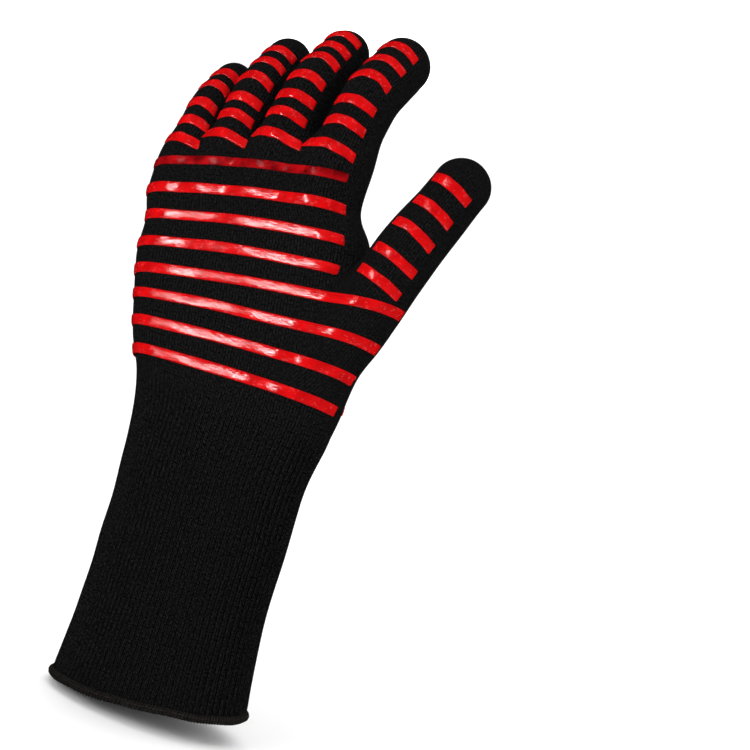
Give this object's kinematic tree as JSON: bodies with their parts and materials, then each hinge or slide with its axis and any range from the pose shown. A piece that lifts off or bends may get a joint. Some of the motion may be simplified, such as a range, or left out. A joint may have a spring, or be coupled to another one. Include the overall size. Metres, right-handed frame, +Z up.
{
  "type": "heat resistant glove",
  "caption": "Long-cuffed knitted oven and grill glove with raised silicone grip strips across the hand and digits, curled as if worn.",
  "frame": {"origin": "centre of the cuff mouth, at the height of the hem's free edge", "axes": "+Z up the cuff toward the fingers, +X toward the thumb, back of the hand toward -Y and palm toward +Y"},
  "size_m": [0.1797, 0.1177, 0.3451],
  "materials": {
    "knit": "matte black fine rib knit",
    "liner": "brushed dark knit",
    "hem": "rolled knit edge, slightly brown",
    "stitches": "overlock thread",
    "silicone": "glossy red printed silicone"
  },
  "bodies": {
    "cuff": {"cuff_shell": "knit", "cuff_liner": "liner", "cuff_hem": "hem", "hem_stitches": "stitches"},
    "hand": {"hand_shell": "knit", "hand_liner": "liner", "back_strip_1": "silicone", "back_strip_2": "silicone", "back_strip_3": "silicone", "back_strip_4": "silicone", "back_strip_5": "silicone", "back_strip_6": "silicone", "back_strip_7": "silicone", "back_strip_8": "silicone", "palm_strip_1": "silicone", "palm_strip_2": "silicone", "palm_strip_3": "silicone", "palm_strip_4": "silicone", "palm_strip_5": "silicone", "palm_strip_6": "silicone", "palm_strip_7": "silicone", "palm_strip_8": "silicone"},
    "thumb_base": {"thumb_base_shell": "knit", "thumb_base_liner": "liner", "thumb_base_strips": "silicone"},
    "thumb_tip": {"thumb_tip_shell": "knit", "thumb_tip_liner": "liner", "thumb_tip_strips": "silicone"},
    "index_base": {"index_base_shell": "knit", "index_base_liner": "liner", "index_base_strips": "silicone"},
    "index_tip": {"index_tip_shell": "knit", "index_tip_liner": "liner", "index_tip_strips": "silicone"},
    "middle_base": {"middle_base_shell": "knit", "middle_base_liner": "liner", "middle_base_strips": "silicone"},
    "middle_tip": {"middle_tip_shell": "knit", "middle_tip_liner": "liner", "middle_tip_strips": "silicone"},
    "ring_base": {"ring_base_shell": "knit", "ring_base_liner": "liner", "ring_base_strips": "silicone"},
    "ring_tip": {"ring_tip_shell": "knit", "ring_tip_liner": "liner", "ring_tip_strips": "silicone"},
    "little_base": {"little_base_shell": "knit", "little_base_liner": "liner", "little_base_strips": "silicone"},
    "little_tip": {"little_tip_shell": "knit", "little_tip_liner": "liner", "little_tip_strips": "silicone"}
  },
  "joints": [
    {"name": "wrist_flex", "type": "hinge", "parent": "cuff", "child": "hand", "pos_m": [0, 0, 0.14], "axis": [-1, 0, 0], "range_deg": [-25, 20], "stiffness_Nm_per_rad": 1.5},
    {"name": "thumb_base_flex", "type": "hinge", "parent": "hand", "child": "thumb_base", "pos_m": [0.054, 0.01, 0.21], "axis": [-1, 0, 0], "range_deg": [-10.5, 39.5], "stiffness_Nm_per_rad": 0.06},
    {"name": "thumb_tip_flex", "type": "hinge", "parent": "thumb_base", "child": "thumb_tip", "pos_m": [0.06852, 0.01815, 0.25395], "axis": [-1, 0, 0], "range_deg": [-8, 42], "stiffness_Nm_per_rad": 0.03},
    {"name": "index_base_flex", "type": "hinge", "parent": "hand", "child": "index_base", "pos_m": [0.009, 0.03119, 0.28672], "axis": [-1, 0, 0], "range_deg": [-16, 34], "stiffness_Nm_per_rad": 0.06},
    {"name": "index_tip_flex", "type": "hinge", "parent": "index_base", "child": "index_tip", "pos_m": [0.00699, 0.04665, 0.31581], "axis": [-1, 0, 0], "range_deg": [-26, 24], "stiffness_Nm_per_rad": 0.03},
    {"name": "middle_base_flex", "type": "hinge", "parent": "hand", "child": "middle_base", "pos_m": [-0.02, 0.03056, 0.28379], "axis": [-1, 0, 0], "range_deg": [-16, 34], "stiffness_Nm_per_rad": 0.06},
    {"name": "middle_tip_flex", "type": "hinge", "parent": "middle_base", "child": "middle_tip", "pos_m": [-0.02195, 0.04556, 0.31199], "axis": [-1, 0, 0], "range_deg": [-26, 24], "stiffness_Nm_per_rad": 0.03},
    {"name": "ring_base_flex", "type": "hinge", "parent": "hand", "child": "ring_base", "pos_m": [-0.047, 0.02869, 0.27498], "axis": [-1, 0, 0], "range_deg": [-16, 34], "stiffness_Nm_per_rad": 0.06},
    {"name": "ring_tip_flex", "type": "hinge", "parent": "ring_base", "child": "ring_tip", "pos_m": [-0.04871, 0.04181, 0.29966], "axis": [-1, 0, 0], "range_deg": [-26, 24], "stiffness_Nm_per_rad": 0.03},
    {"name": "little_base_flex", "type": "hinge", "parent": "hand", "child": "little_base", "pos_m": [-0.072, 0.02682, 0.26618], "axis": [-1, 0, 0], "range_deg": [-16, 34], "stiffness_Nm_per_rad": 0.06},
    {"name": "little_tip_flex", "type": "hinge", "parent": "little_base", "child": "little_tip", "pos_m": [-0.0734, 0.0376, 0.28645], "axis": [-1, 0, 0], "range_deg": [-26, 24], "stiffness_Nm_per_rad": 0.03}
  ]
}
